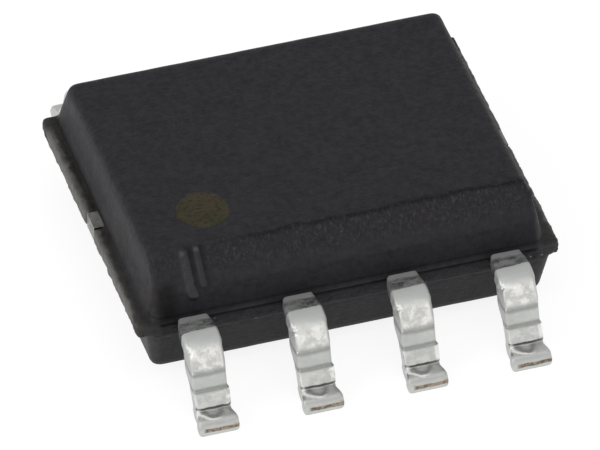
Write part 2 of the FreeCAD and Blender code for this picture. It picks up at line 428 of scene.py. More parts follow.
def bevel_edges():
    """Lower and upper edge of the bevel along the front, each as (y, z)."""
    low_z = BODY_TOP - BEVEL_DROP
    low_y = -(BODY_SIDE - (low_z - FRAME_TOP) * tan_deg(SIDE_DRAFT))
    return Vector((low_y, low_z)), Vector((low_y + BEVEL_RUN, BODY_TOP))


def moulding_block():
    """Both halves of the moulding, the lower one reaching further out, with the bevel cut along the front."""
    block = start_block("moulding", (2 * BODY_END, 2 * BODY_SIDE, STRIP), (0, 0, FRAME_TOP - STRIP / 2))
    pick(block, "edges", edges_along((0, 0, 1)))
    round_edges(CORNER_RADIUS, 6)
    draw_half(block, (0, 0, 1), BODY_TOP - FRAME_TOP, SIDE_DRAFT)
    pick_side(block, (0, 0, -1))
    extrude((0, 0, -HALVES_STEP))
    resize((1 + LOWER_OVERHANG / BODY_END, 1, 1))
    shift((HALVES_OFFSET, 0, 0))
    draw_half(block, (0, 0, -1), FRAME_BOTTOM - HALVES_STEP - BODY_BOTTOM, LOWER_SIDE_DRAFT)
    pick(block, "edges", lambda edge: all(vert.co.z > BODY_TOP - SAME_PLACE for vert in edge.verts))
    round_edges(TOP_EDGE_RADIUS * tan_deg(38), 4)
    pick(block, "edges", lambda edge: all(vert.co.z < BODY_BOTTOM + SAME_PLACE for vert in edge.verts))
    round_edges(BOTTOM_EDGE_RADIUS, 3)
    low, _ = bevel_edges()
    bpy.ops.mesh.select_all(action="SELECT")
    bpy.ops.mesh.bisect(plane_co=(0, low.x, low.y), plane_no=(0, -BEVEL_DROP, BEVEL_RUN),
                        use_fill=True, clear_outer=True)
    modify(block, "BEVEL", width=EDGE_RADIUS, segments=3, limit_method="ANGLE", angle_limit=math.radians(28))
    return block


def groove_cutter(side):
    length = 2 * (BODY_END - 0.16)
    cutter = start_block("groove", (length, 2 * GROOVE_DEPTH, GROOVE_HEIGHT),
                         (0, side * BODY_SIDE, GROOVE_TOP - GROOVE_HEIGHT / 2))
    make_active(cutter)
    return cutter


def tie_bar_cutter(end):
    """Opens the lip so that the cut end of the tie bar shows."""
    cutter = start_block("tie_bar_window", (0.26, TIE_BAR_WIDTH + 0.02, 0.26),
                         (end * (LIP_END + LIP_OVERHANG), 0, FRAME_TOP - STRIP / 2))
    make_active(cutter)
    return cutter


def end_lip(end):
    """Thin resin shelf at a short end, on the frame's level."""
    reach = LIP + 0.2
    block = start_block("lip", (reach, 2 * BODY_SIDE, STRIP),
                        (end * (LIP_END + LIP_OVERHANG - reach / 2), 0, FRAME_TOP - STRIP / 2))
    pick(block, "edges", lambda edge: edges_along((0, 0, 1))(edge) and end * edge.verts[0].co.x > BODY_END)
    round_edges(LIP_CORNER_RADIUS, 4)
    pick(block, "edges", lambda edge: edge.calc_face_angle(0) > 0.6)
    round_edges(LIP_EDGE_RADIUS, 2)
    make_active(block)
    cut_away(block, tie_bar_cutter(end))
    return block


def bevel_rib(left, top_width, width, start, overrun):
    """Bar down the bevel with a round lower end, from start below the upper edge to past the lower one."""
    low, high = bevel_edges()
    down = (low - high).normalized()
    first = high + down * start
    last = low + down * overrun
    length = (last - first).length
    flare = length * 0.22
    block = start_block("rib", (top_width, length - flare, 0.16), ((top_width - width) / 2, flare / 2, 0))
    pick_side(block, (0, -1, 0))
    extrude((0, -flare, 0))
    resize((width / top_width, 1, 1), (-width / 2, 0, 0))
    pick(block, "edges", lambda edge: edges_along((0, 0, 1))(edge)
         and edge.verts[0].co.y < SAME_PLACE - length / 2)
    round_edges(width * 0.42, 5)
    pick(block, "edges", lambda edge: all(vert.co.z > 0.07 for vert in edge.verts))
    round_edges(0.02, 3)
    make_active(block)
    middle = (first + last) / 2
    out = Vector((-BEVEL_DROP, BEVEL_RUN)).normalized()
    place = middle + out * (0.026 - 0.08)
    block.rotation_euler.x = math.atan2(BEVEL_DROP, BEVEL_RUN)
    block.location = (left + width / 2, place.x, place.y)
    bpy.ops.object.transform_apply(location=True, rotation=True, scale=True)
    return block


def weigh(block, name, weight):
    """Vertex group whose weight is worked out from each vert's place."""
    group = block.vertex_groups.new(name=name)
    for vert in block.data.vertices:
        share = weight(vert.co)
        if share > 0.01:
            group.add([vert.index], min(share, 1.0), "REPLACE")


def rise(value, low, high):
    return min(max((value - low) / (high - low), 0.0), 1.0)


def fade_near(value, centre, reach):
    return max(0.0, 1.0 - abs(value - centre) / reach)


def build_moulding():
    _, high = bevel_edges()
    block = moulding_block()
    for side in (-1, 1):
        cut_away(block, groove_cutter(side))
    parts = [block] + [end_lip(end) for end in (-1, 1)] + [bevel_rib(*rib) for rib in RIBS]
    block = join(parts)
    modify(block, "REMESH", mode="VOXEL", voxel_size=GRAIN_STEP)
    modify(block, "SMOOTH", factor=0.5, iterations=2)
    weigh(block, "torn_lip", lambda co: rise(abs(co.x), BODY_END + 0.07, BODY_END + 0.13)
          * rise(abs(co.y), TIE_BAR_WIDTH / 2 + 0.03, TIE_BAR_WIDTH / 2 + 0.12))
    weigh(block, "torn_resin", lambda co: rise(abs(co.y), 1.85, 1.92) * fade_near(co.z, 0.79, 0.09))
    weigh(block, "bevel_edge", lambda co: fade_near(co.y, high.x, 0.10) * rise(co.z, 1.45, 1.52))
    modify(block, "DISPLACE", texture=clouds("mould_wave", 0.45), strength=0.010, mid_level=0.5)
    for name, size, depth, strength in (("torn_lip", 0.10, 5, 0.045), ("torn_resin", 0.05, 3, 0.05),
                                        ("bevel_edge", 0.14, 1, 0.03)):
        modify(block, "DISPLACE", texture=clouds(name, size, depth), strength=strength, mid_level=0.5,
               vertex_group=name)
    block.vertex_groups.clear()
    to_metres(block)
    block.name = "moulding"
    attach(block, "root")
    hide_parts("moulded_body")
    return block


# Shader helpers

def fill(tree, sockets, values):
    """Sets each named socket to its value, or links it where the value comes from another node."""
    for name, value in values.items():
        if isinstance(value, bpy.types.NodeSocket):
            tree.links.new(value, sockets[name])
        else:
            sockets[name].default_value = value


def node(tree, kind, inputs=None, **settings):
    """Adds a node with its settings, and sets or links its inputs."""
    made = tree.nodes.new(kind)
    for name, value in settings.items():
        setattr(made, name, value)
    fill(tree, made.inputs, inputs or {})
    return made


def calc(tree, operation, first, second=0.0):
    return node(tree, "ShaderNodeMath", {0: first, 1: second}, operation=operation).outputs[0]


def multiply(tree, *values):
    product = values[0]
    for value in values[1:]:
        product = calc(tree, "MULTIPLY", product, value)
    return product


def add(tree, *values):
    total = values[0]
    for value in values[1:]:
        total = calc(tree, "ADD", total, value)
    return total


def invert(tree, value):
    return calc(tree, "SUBTRACT", 1.0, value)


def clamp(tree, value):
    return node(tree, "ShaderNodeClamp", {"Value": value}).outputs[0]


def offset_from(tree, place, origin):
    return node(tree, "ShaderNodeVectorMath", {0: place, 1: origin}, operation="SUBTRACT").outputs[0]


def length_of(tree, offset):
    return node(tree, "ShaderNodeVectorMath", {0: offset}, operation="LENGTH").outputs["Value"]


def distance_along(tree, place, origin, direction):
    """How far the place lies from the origin along the direction."""
    return node(tree, "ShaderNodeVectorMath", {0: offset_from(tree, place, origin), 1: direction},
                operation="DOT_PRODUCT").outputs["Value"]


def ramp(tree, value, low, high):
    """0 below low, 1 above high and smooth between."""
    made = node(tree, "ShaderNodeMapRange", {"Value": value, "From Min": low, "From Max": high},
                interpolation_type="SMOOTHSTEP")
    return made.outputs["Result"]


def scale_to(tree, value, low, high):
    """Brings a value between 0 and 1 to between low and high."""
    return node(tree, "ShaderNodeMapRange", {"Value": value, "To Min": low, "To Max": high}).outputs["Result"]


def blend(tree, share, first, second, kind="MIX"):
    made = node(tree, "ShaderNodeMix", {0: share, 6: first, 7: second}, data_type="RGBA", blend_type=kind)
    return made.outputs[2]


def noise(tree, place, scale, detail=3.0, roughness=0.6):
    made = node(tree, "ShaderNodeTexNoise", {"Vector": place, "Scale": scale, "Detail": detail,
                                            "Roughness": roughness})
    return made.outputs["Fac"]


def stretch(tree, place, factors):
    return node(tree, "ShaderNodeMapping", {"Vector": place, "Scale": factors}).outputs["Vector"]


def start_group(name, inputs, outputs):
    """A shader node group whose inputs and outputs are given as {name: (kind, default)}."""
    group = bpy.data.node_groups.new(name, "ShaderNodeTree")
    for label, (kind, default) in inputs.items():
        socket = group.interface.new_socket(label, in_out="INPUT", socket_type=kind)
        if default is not None:
            socket.default_value = default
    for label, (kind, _) in outputs.items():
        group.interface.new_socket(label, in_out="OUTPUT", socket_type=kind)
    return group, group.nodes.new("NodeGroupInput").outputs, group.nodes.new("NodeGroupOutput").inputs


def use(tree, name, inputs):
    """Adds the named group of nodes, and sets or links its inputs."""
    made = tree.nodes.new("ShaderNodeGroup")
    made.node_tree = bpy.data.node_groups[name]
    fill(tree, made.inputs, inputs)
    return made.outputs


def band(tree, value, low, high, fade):
    """1 between low and high, fading to 0 on both sides."""
    return use(tree, "band", {"Value": value, "Low": low, "High": high, "Fade": fade})["Mask"]


def mottle(tree, place, per_mm, contrast):
    return use(tree, "mottle", {"Place": place, "Per mm": per_mm, "Contrast": contrast})["Value"]


def specks(tree, place, per_mm, share, size):
    return use(tree, "specks", {"Place": place, "Per mm": per_mm, "Share": share, "Size": size})


FLOAT = "NodeSocketFloat"
VECTOR = "NodeSocketVector"


def build_groups():
    """Groups of nodes that several of the materials share."""
    tree, _, out = start_group("place_in_mm", {}, {"Place": (VECTOR, None), "X": (FLOAT, 0),
                                                   "Y": (FLOAT, 0), "Z": (FLOAT, 0)})
    where = node(tree, "ShaderNodeTexCoord").outputs["Object"]
    place = stretch(tree, where, (1000, 1000, 1000))
    parts = node(tree, "ShaderNodeSeparateXYZ", {"Vector": place}).outputs
    tree.links.new(place, out["Place"])
    for axis in "XYZ":
        tree.links.new(parts[axis], out[axis])

    tree, given, out = start_group("band", {"Value": (FLOAT, 0), "Low": (FLOAT, 0), "High": (FLOAT, 1),
                                            "Fade": (FLOAT, 0.01)}, {"Mask": (FLOAT, 0)})
    up = ramp(tree, given["Value"], calc(tree, "SUBTRACT", given["Low"], given["Fade"]),
              calc(tree, "ADD", given["Low"], given["Fade"]))
    down = ramp(tree, given["Value"], calc(tree, "SUBTRACT", given["High"], given["Fade"]),
                calc(tree, "ADD", given["High"], given["Fade"]))
    tree.links.new(calc(tree, "SUBTRACT", up, down), out["Mask"])

    tree, given, out = start_group("specks", {"Place": (VECTOR, None), "Per mm": (FLOAT, 20),
                                              "Share": (FLOAT, 0.1), "Size": (FLOAT, 0.4)},
                                   {"Mask": (FLOAT, 0), "Strength": (FLOAT, 0)})
    cells = node(tree, "ShaderNodeTexVoronoi", {"Vector": given["Place"], "Scale": given["Per mm"]}).outputs
    chance = node(tree, "ShaderNodeSeparateColor", {"Color": cells["Color"]}).outputs
    picked = calc(tree, "LESS_THAN", chance["Red"], given["Share"])
    spot = calc(tree, "SUBTRACT", 1.0, ramp(tree, cells["Distance"], 0.0, given["Size"]))
    mask = calc(tree, "MULTIPLY", picked, spot)
    tree.links.new(mask, out["Mask"])
    tree.links.new(calc(tree, "MULTIPLY", mask, chance["Green"]), out["Strength"])

    tree, given, out = start_group("mottle", {"Place": (VECTOR, None), "Per mm": (FLOAT, 5),
                                              "Contrast": (FLOAT, 1)}, {"Value": (FLOAT, 0)})
    coarse = noise(tree, given["Place"], given["Per mm"], 4.0)
    fine = noise(tree, given["Place"], calc(tree, "MULTIPLY", given["Per mm"], 4.3), 3.0)
    both = calc(tree, "ADD", calc(tree, "MULTIPLY", coarse, 0.65), calc(tree, "MULTIPLY", fine, 0.35))
    centred = calc(tree, "MULTIPLY", calc(tree, "SUBTRACT", both, 0.5), given["Contrast"])
    limited = clamp(tree, calc(tree, "ADD", centred, 0.5))
    tree.links.new(limited, out["Value"])


def dress(piece, material):
    piece.data.materials.clear()
    piece.data.materials.append(material)


def start_material(name):
    """A material with its node tree emptied, and its Principled shader wired to the output."""
    material = bpy.data.materials.new(name)
    material.use_nodes = True
    tree = material.node_tree
    tree.nodes.clear()
    shader = node(tree, "ShaderNodeBsdfPrincipled")
    node(tree, "ShaderNodeOutputMaterial", {"Surface": shader.outputs["BSDF"]})
    return material, tree, shader


def wire(tree, shader, **sockets):
    fill(tree, shader.inputs, {name.replace("_", " "): value for name, value in sockets.items()})


def bump(tree, height, distance, strength=1.0, base=None):
    """Relief whose height of 1 stands for the distance in millimetres."""
    inputs = {"Height": height, "Distance": distance / 1000, "Strength": strength}
    if base is not None:
        inputs["Normal"] = base
    return node(tree, "ShaderNodeBump", inputs).outputs["Normal"]


class Coat:
    """A colour that is laid on in layers, each one as far as its masks let it through."""

    def __init__(self, tree, colour):
        self.tree = tree
        self.colour = colour

    def lay(self, tone, *masks):
        self.colour = blend(self.tree, multiply(self.tree, *masks), self.colour, tone)


def find_place(tree):
    """The place in millimetres, with its distances out to the leads and along to the short ends."""
    given = use(tree, "place_in_mm", {})
    at = {name: given[name] for name in ("Place", "X", "Y", "Z")}
    at["out"] = calc(tree, "ABSOLUTE", at["Y"])
    at["end"] = calc(tree, "ABSOLUTE", at["X"])
    return at


# Materials

def bevel_masks(tree, at):
    """Masks on the bevel: its rough upper part, the dark line at its top, its ribs, the painted shade beside
    them and the painted glints at their tips.
    """
    low, high = bevel_edges()
    slope = (high - low).normalized()
    length = (high - low).length
    above = distance_along(tree, at["Place"], (0, *low), (0, -slope.y, slope.x))
    way = distance_along(tree, at["Place"], (0, *low), (0, *slope))
    ragged_way = add(tree, way, scale_to(tree, noise(tree, at["Place"], 3.5), -0.05, 0.05))
    on_bevel = multiply(tree, band(tree, above, -0.03, 0.06, 0.01),
                        band(tree, way, 0.0, length, 0.02))
    rough = multiply(tree, on_bevel, ramp(tree, ragged_way, 0.02, 0.32),
                     scale_to(tree, ramp(tree, at["X"], -1.72, -1.55), 0.35, 1.0))
    top_line = multiply(tree, band(tree, ragged_way, length - 0.045, length + 0.005, 0.030),
                        band(tree, above, -0.06, 0.02, 0.03), ramp(tree, at["Y"], 0.0, -0.5),
                        ramp(tree, at["X"], -1.50, -0.90))
    raised = multiply(tree, ramp(tree, above, 0.006, 0.016),
                      band(tree, way, -0.10, length - 0.01, 0.015),
                      ramp(tree, at["Y"], -1.25, -1.35))
    columns = [multiply(tree, band(tree, at["X"], left, left + width, 0.012), share)
               for (left, _, width, _, _), share in zip(RIBS, (1.0, 0.7))]
    ribs = multiply(tree, raised, add(tree, *columns))
    first_left = RIBS[0][0]
    last_left, last_width = RIBS[-1][0], RIBS[-1][2]
    # Painted shade beside the ribs.
    rib_shade = multiply(tree, on_bevel,
                    band(tree, at["X"], first_left + 0.07, last_left + last_width + 0.05, 0.05),
                    invert(tree, ribs))
    # Painted glints at the ribs' upper tips.
    first_tip = multiply(tree, ribs, band(tree, way, length - 0.11, length - 0.06, 0.02),
                         band(tree, at["X"], first_left + 0.03, first_left + 0.03 + 0.03, 0.03))
    last_tip = multiply(tree, ribs, band(tree, way, length - 0.08, length - 0.04, 0.02),
                        ramp(tree, at["X"], last_left, last_left + 0.02))
    return {"slope": on_bevel, "rough": rough, "top_line": top_line, "ribs": ribs, "rib_shade": rib_shade,
            "tips": add(tree, first_tip, last_tip)}


def mark_mask(tree, at):
    """Ragged disc on the top face beside pin 1."""
    flat = stretch(tree, at["Place"], (1, 1, 0))
    reach = length_of(tree, offset_from(tree, flat, (*MARK_CENTRE, 0)))
    ragged = add(tree, reach, scale_to(tree, noise(tree, at["Place"], 12.0), -0.05, 0.05))
    disc = ramp(tree, ragged, MARK_RADIUS + 0.02, MARK_RADIUS - 0.02)
    return multiply(tree, disc, ramp(tree, at["Z"], BODY_TOP - 0.08, BODY_TOP - 0.04))


def lay_resin(tree, at, coat, slope):
    """Brushed and peppered resin, greyer on the bevel; a painted dark reflection above the frame's level, and
    painted light from the floor low down.
    """
    place, height_up = at["Place"], at["Z"]
    brushed = noise(tree, stretch(tree, place, (4.0, 30.0, 12.0)), 1.0, 4.0)
    coat.lay((0.019, 0.018, 0.022, 1), ramp(tree, brushed, 0.40, 0.62), 0.35)
    peppered = mottle(tree, place, 13.0, 5.0)
    coat.lay((0.027, 0.025, 0.033, 1), peppered, 0.40)
    coat.lay((0.023, 0.022, 0.025, 1), slope, 0.25)
    # Painted dark reflection on the upper draft, above the frame's level.
    draft = multiply(tree, at["on_side"], ramp(tree, height_up, FRAME_TOP, FRAME_TOP + 0.03),
                     ramp(tree, height_up, FRAME_TOP + 0.34, FRAME_TOP + 0.04))
    coat.lay((0.008, 0.0078, 0.0082, 1), draft, 0.5)
    # Painted light: the lower half is lighter, as if reflecting the floor close by, and the bottom rim
    # lighter still.
    coat.lay((0.026, 0.0255, 0.025, 1), at["on_side"], ramp(tree, height_up, 0.68, 0.60), 0.7)
    rim = ramp(tree, height_up, BODY_BOTTOM + 0.12, BODY_BOTTOM)
    coat.lay((0.07, 0.0695, 0.069, 1), rim, 0.8)
    return brushed, peppered, draft


def lay_ends(tree, at, coat):
    """End faces with painted light from the left, more of it at their foot, painted shade in the crease over
    each lip, and the lips' own tone.
    """
    place, height_up, end = at["Place"], at["Z"], at["end"]
    lit_end = multiply(tree, ramp(tree, end, 2.27, 2.33), mottle(tree, place, 3.0, 1.6),
                          scale_to(tree, ramp(tree, at["Y"], 0.6, -1.0), 0.7, 1.0),
                          ramp(tree, height_up, BODY_TOP - 0.10, BODY_TOP - 0.21))
    # Painted light on the end faces, stronger towards the front; the next layer adds painted light at their
    # foot.
    coat.lay((0.044, 0.044, 0.0455, 1), lit_end)
    coat.lay((0.07, 0.07, 0.072, 1), lit_end,
             band(tree, height_up, FRAME_TOP + 0.04, FRAME_TOP + 0.15, 0.04), 0.7)
    # Painted shade in the crease where each end face meets its lip.
    lip_crease_shade = multiply(tree, band(tree, end, BODY_END - 0.01, BODY_END + 0.08, 0.03),
                      band(tree, height_up, FRAME_TOP - 0.03, FRAME_TOP + 0.03, 0.01))
    coat.lay((0.004, 0.0038, 0.0036, 1), lip_crease_shade, scale_to(tree, at["to_front"], 1.0, 0.3))
    lip = multiply(tree, ramp(tree, end, BODY_END + 0.015, BODY_END + 0.035),
                   ramp(tree, height_up, FRAME_BOTTOM - 0.05, FRAME_BOTTOM - 0.01))
    lip_tone = add(tree, mottle(tree, place, 8.0, 5.0),
                   ramp(tree, end, LIP_END - 0.07, LIP_END - 0.01))
    coat.lay((0.052, 0.048, 0.04, 1), lip, lip_tone, 0.4)


def lay_corner(tree, at, coat):
    """Brown streaks and a shaded zone at the front left corner."""
    streaks = noise(tree, stretch(tree, at["Place"], (16.0, 16.0, 1.2)), 1.0, 2.0)
    coat.lay((0.048, 0.038, 0.03, 1), ramp(tree, at["X"], -2.16, -2.26),
             ramp(tree, at["Y"], -1.55, -1.70), ramp(tree, at["Z"], FRAME_TOP, FRAME_TOP + 0.05),
             ramp(tree, streaks, 0.45, 0.6), 0.35)
    shaded = multiply(tree, band(tree, at["X"], -2.33, -2.08, 0.08),
                      ramp(tree, at["Y"], -1.50, -1.60),
                      band(tree, at["Z"], FRAME_TOP - 0.04, BODY_TOP - 0.24, 0.08))
    coat.lay((0.005, 0.0042, 0.004, 1), shaded, 0.7)
    return shaded


def lay_bevel(tree, at, coat, bevel):
    """Sparkling strokes on the bevel's rough part, painted shade beside the ribs, and ribs with painted
    glints at their tips.
    """
    place = at["Place"]
    strokes = noise(tree, stretch(tree, place, (32.0, 20.0, 20.0)), 1.0, 4.0, 0.75)
    pits = multiply(tree, bevel["rough"], ramp(tree, strokes, 0.42, 0.66))
    sparkle = blend(tree, mottle(tree, place, 6.0, 3.0), (0.07, 0.056, 0.062, 1),
                    (0.054, 0.06, 0.076, 1))
    coat.lay(sparkle, pits, 0.85)
    # Painted shade beside the ribs.
    coat.lay((0.006, 0.0035, 0.003, 1), bevel["rib_shade"], 0.7)
    rib_tone = scale_to(tree, mottle(tree, place, 7.0, 3.5), 0.35, 0.9)
    coat.lay((0.048, 0.048, 0.056, 1), bevel["ribs"], rib_tone)
    # Painted glints at the rib tips.
    coat.lay((0.14, 0.14, 0.15, 1), bevel["tips"], 0.6)
    return pits


def lay_torn_resin(tree, at, coat):
    """Torn resin between the leads and along the lips' edges, and the fine parting line."""
    place, height_up = at["Place"], at["Z"]
    torn_tone = mottle(tree, place, 9.0, 2.6)
    torn_side = multiply(tree, at["on_side"], band(tree, height_up, 0.69, 0.85, 0.02))
    coat.lay((0.026, 0.026, 0.027, 1), torn_side, torn_tone, 0.45)
    crumbs = specks(tree, place, 14.0, 0.07, 0.32)
    coat.lay((0.34, 0.34, 0.35, 1), crumbs["Strength"], torn_side)
    coat.lay((0.01, 0.01, 0.01, 1), at["on_side"],
             band(tree, height_up, FRAME_TOP - 0.012, FRAME_TOP + 0.016, 0.010), 0.3)
    ragged_end = add(tree, at["end"], scale_to(tree, noise(tree, place, 8.0, 3.0), -0.07, 0.07),
                     scale_to(tree, at["to_front"], 0.0, -0.025))
    torn_lip = multiply(tree, ramp(tree, ragged_end, LIP_END - 0.065, LIP_END - 0.025),
                        ramp(tree, at["out"], 1.78, 1.60),
                        band(tree, height_up, FRAME_BOTTOM - 0.02, FRAME_TOP, 0.02))
    coat.lay((0.155, 0.153, 0.146, 1), torn_lip, scale_to(tree, torn_tone, 0.5, 1.0))
    return torn_side, torn_tone


def lay_mark(tree, at, coat):
    """Burnt disc beside pin 1, and specks of dust over everything."""
    place = at["Place"]
    disc = mark_mask(tree, at)
    burnt = blend(tree, mottle(tree, place, 8.0, 5.0), (0.048, 0.032, 0.017, 1),
                  (0.026, 0.028, 0.007, 1))
    soot = multiply(tree, ramp(tree, noise(tree, place, 20.0, 2.0), 0.50, 0.66), 0.7)
    coat.lay(blend(tree, soot, burnt, (0.008, 0.0095, 0.005, 1)), disc)
    dust = specks(tree, place, 6.0, 0.02, 0.10)
    coat.lay((0.3, 0.29, 0.29, 1), dust["Strength"])
    return disc


def lay_dark_lines(tree, at, coat, top_line):
    """Painted shade in the groove along the leads, the painted shadow line above it and the one at the
    bevel's top.
    """
    above_parting = multiply(tree, at["on_side"],
                             band(tree, at["Z"], FRAME_TOP + 0.035, FRAME_TOP + 0.055, 0.016))
    groove = multiply(tree, at["on_side"], ramp(tree, at["end"], BODY_END - 0.05, BODY_END - 0.14),
                      band(tree, at["Z"], GROOVE_TOP - GROOVE_HEIGHT + 0.01, GROOVE_TOP, 0.014))
    dark_lines = clamp(tree, add(tree, multiply(tree, groove, 0.7), multiply(tree, above_parting, 0.45),
                                 multiply(tree, top_line, 0.5)))
    # Painted shade along the groove and the lines above it.
    coat.lay((0.001, 0.001, 0.001, 1), dark_lines)
    return dark_lines


def mould_epoxy():
    """Black filled epoxy: spark-eroded outside, torn where the frame was cut out, marked by laser."""
    material, tree, shader = start_material("mould_epoxy")
    at = find_place(tree)
    at["on_side"] = ramp(tree, at["out"], 1.74, 1.80)
    at["to_front"] = ramp(tree, at["Y"], 0.2, -1.2)
    bevel = bevel_masks(tree, at)

    tone = mottle(tree, at["Place"], 2.2, 2.2)
    coat = Coat(tree, blend(tree, tone, (0.008, 0.0078, 0.013, 1), (0.0135, 0.0125, 0.0125, 1)))
    brushed, peppered, draft = lay_resin(tree, at, coat, bevel["slope"])
    lay_ends(tree, at, coat)
    shaded = lay_corner(tree, at, coat)
    pits = lay_bevel(tree, at, coat, bevel)
    torn_side, torn_tone = lay_torn_resin(tree, at, coat)
    disc = lay_mark(tree, at, coat)
    dark_lines = lay_dark_lines(tree, at, coat, bevel["top_line"])

    grain = mottle(tree, at["Place"], 22.0, 2.0)
    height = add(tree, grain, multiply(tree, brushed, 0.6), multiply(tree, pits, 2.0),
                 multiply(tree, torn_side, torn_tone, 3.0),
                 multiply(tree, disc, noise(tree, at["Place"], 18.0), 1.5))
    gloss = multiply(tree, scale_to(tree, dark_lines, 1.0, 0.15), scale_to(tree, draft, 1.0, 0.7),
                     scale_to(tree, bevel["slope"], 0.195, 0.235), scale_to(tree, peppered, 0.85, 1.15),
                     scale_to(tree, shaded, 1.0, 0.7))
    wire(tree, shader, Base_Color=coat.colour, Roughness=scale_to(tree, grain, 0.44, 0.60),
         Specular_IOR_Level=gloss, Normal=bump(tree, height, 0.006))
    return material


def across_lead(tree, at):
    """How far a place lies to the right of its lead's middle, seen from outside the row."""
    wrapped = node(tree, "ShaderNodeMath", {0: at["X"], 1: PITCH, 2: 0.0}, operation="WRAP").outputs[0]
    from_middle = calc(tree, "SUBTRACT", wrapped, PITCH / 2)
    return multiply(tree, from_middle, calc(tree, "SIGN", multiply(tree, at["Y"], -1.0)))


def lay_tin(tree, at, coat, side):
    """Duller tin on the shoulder, painted darker; rubbed down the front; struck under the lower ridge, with a
    painted glint at its right corner; grey at the sides.
    """
    place, height_up, across, waver = at["Place"], at["Z"], at["across"], at["waver"]
    from_pin = calc(tree, "ABSOLUTE", across)
    level_top = ramp(tree, height_up, 0.84, 0.90)
    # Painted shade: the level top's colour is darker, holding back its reflection of the sky.
    coat.lay((0.45, 0.46, 0.455, 1), level_top, 0.6)
    rubbed = multiply(tree, band(tree, add(tree, height_up, multiply(tree, waver, 1.5)),
                                 UPPER_RIDGE + 0.04, 0.85, 0.03),
                      ramp(tree, add(tree, from_pin, waver), 0.205, 0.165))
    scuffs = ramp(tree, noise(tree, place, 9.0, 3.0, 0.6), 0.38, 0.64)
    coat.lay((1.0, 0.98, 0.94, 1), rubbed, scale_to(tree, scuffs, 0.35, 1.0))
    low_band = band(tree, height_up, ANKLE_TOP, LOWER_RIDGE - 0.01, 0.01)
    coat.lay((0.86, 0.85, 0.82, 1), low_band, scale_to(tree, scuffs, 0.25, 0.7))
    # Painted glint on the right corner of the band under the lower ridge.
    coat.lay((1.0, 0.99, 0.97, 1), low_band, ramp(tree, add(tree, across, waver), 0.135, 0.175),
             ramp(tree, noise(tree, place, 11.0), 0.38, 0.52))
    coat.lay((0.6, 0.61, 0.61, 1), side, 0.5)
    return level_top, rubbed, scuffs, low_band


def lay_collar(tree, at, coat):
    """Darker band on the neck beside the moulding, darkest next to it, and a painted glint at the dent on the
    shoulder's left edge.
    """
    out, across, waver = at["out"], at["across"], at["waver"]
    collar_end = add(tree, out, multiply(tree, waver, 0.7), multiply(tree, across, 0.06))
    # Darker band on the neck beside the moulding, darkest next to it.
    collar_band = ramp(tree, collar_end, BODY_SIDE + 0.258, BODY_SIDE + 0.242)
    collar_tone = mottle(tree, stretch(tree, at["Place"], (0.8, 1.6, 1.0)), 7.0, 5.0)
    inner_collar_band = multiply(tree, collar_band, ramp(tree, add(tree, out, waver), BODY_SIDE + 0.06, BODY_SIDE + 0.11))
    coat.lay((0.235, 0.225, 0.225, 1), collar_band, 0.9)
    coat.lay((0.036, 0.042, 0.042, 1), inner_collar_band, scale_to(tree, collar_tone, 1.0, 0.20))
    # Painted glint on the shoulder's left edge, at its dent.
    dent_glint = multiply(tree, band(tree, add(tree, at["Z"], waver), 0.835, 0.862, 0.014),
                      band(tree, add(tree, across, waver), -0.205, -0.165, 0.014),
                      ramp(tree, out, 2.35, 2.38))
    coat.lay((1.0, 1.0, 1.0, 1), dent_glint)
    return collar_band, dent_glint


def lay_creases(tree, at, coat):
    """Painted shade in the creases at the two ridges and in the tuck at the ankle."""
    level = add(tree, at["Z"], multiply(tree, at["waver"], 0.6))
    # Painted shade under each ridge's step and in the ankle's tuck.
    coat.lay((0.2, 0.205, 0.2, 1),
             band(tree, level, UPPER_RIDGE - 0.045, UPPER_RIDGE - 0.002, 0.020), 0.45)
    coat.lay((0.17, 0.175, 0.17, 1),
             band(tree, level, LOWER_RIDGE - 0.012, LOWER_RIDGE + 0.030, 0.018), 0.50)
    coat.lay((0.035, 0.036, 0.035, 1), band(tree, level, 0.204, 0.236, 0.008),
             ramp(tree, at["out"], 2.73, 2.75), ramp(tree, at["out"], 2.83, 2.81), 0.9)


def lay_foot(tree, at, coat):
    """Foot painted lighter, with a rougher finish, and its dent: painted shade in its hollow and a painted
    glint on its rim.
    """
    out, across = at["out"], at["across"]
    dent_centre = (-0.02, -(TOE_OUT - DENT_FROM_TOE - 0.065), 0)
    folded = node(tree, "ShaderNodeCombineXYZ", {"X": across, "Y": multiply(tree, out, -1.0)}).outputs[0]
    dent_offset = stretch(tree, offset_from(tree, folded, dent_centre), (0.75, 1, 0))
    dent_reach = add(tree, multiply(tree, at["waver"], 1.6), length_of(tree, dent_offset))
    on_foot = multiply(tree, band(tree, at["Z"], 0.12, ANKLE_TOP, 0.01),
                       ramp(tree, out, 2.75, 2.78))
    dent_wall = multiply(tree, on_foot, ramp(tree, dent_reach, 0.050, 0.140))
    dent_rim_glint = multiply(tree, on_foot, band(tree, dent_reach, 0.118, 0.152, 0.016),
                        ramp(tree, across, 0.10, -0.04))
    dent_shade = multiply(tree, on_foot, band(tree, dent_reach, 0.050, 0.095, 0.030))
    # Painted light on the foot; the dent's hollow gets painted shade and its rim a painted glint.
    coat.lay((0.62, 0.62, 0.6, 1), on_foot, 0.30)
    coat.lay((0.22, 0.23, 0.22, 1), dent_shade, 0.6)
    coat.lay((1.0, 1.0, 0.98, 1), dent_rim_glint, 0.8)
    return on_foot, dent_wall, dent_rim_glint


def lay_toe(tree, at, coat):
    """Bare copper across the sheared toe."""
    toe = ramp(tree, at["out"], TOE_OUT - TOE_RIM, TOE_OUT - 0.012)
    cut_height = add(tree, at["Z"], multiply(tree, at["waver"], 0.8))
    copper_band = multiply(tree, toe, band(tree, cut_height, 0.052, 0.104, 0.010),
                           ramp(tree, at["across"], -0.20, -0.15))
    tarnish = ramp(tree, mottle(tree, at["Place"], 7.0, 3.0), 0.3, 0.7)
    copper = blend(tree, tarnish, (0.1, 0.078, 0.058, 1), (0.36, 0.275, 0.2, 1))
    coat.lay(copper, copper_band, 0.9)
    return copper_band


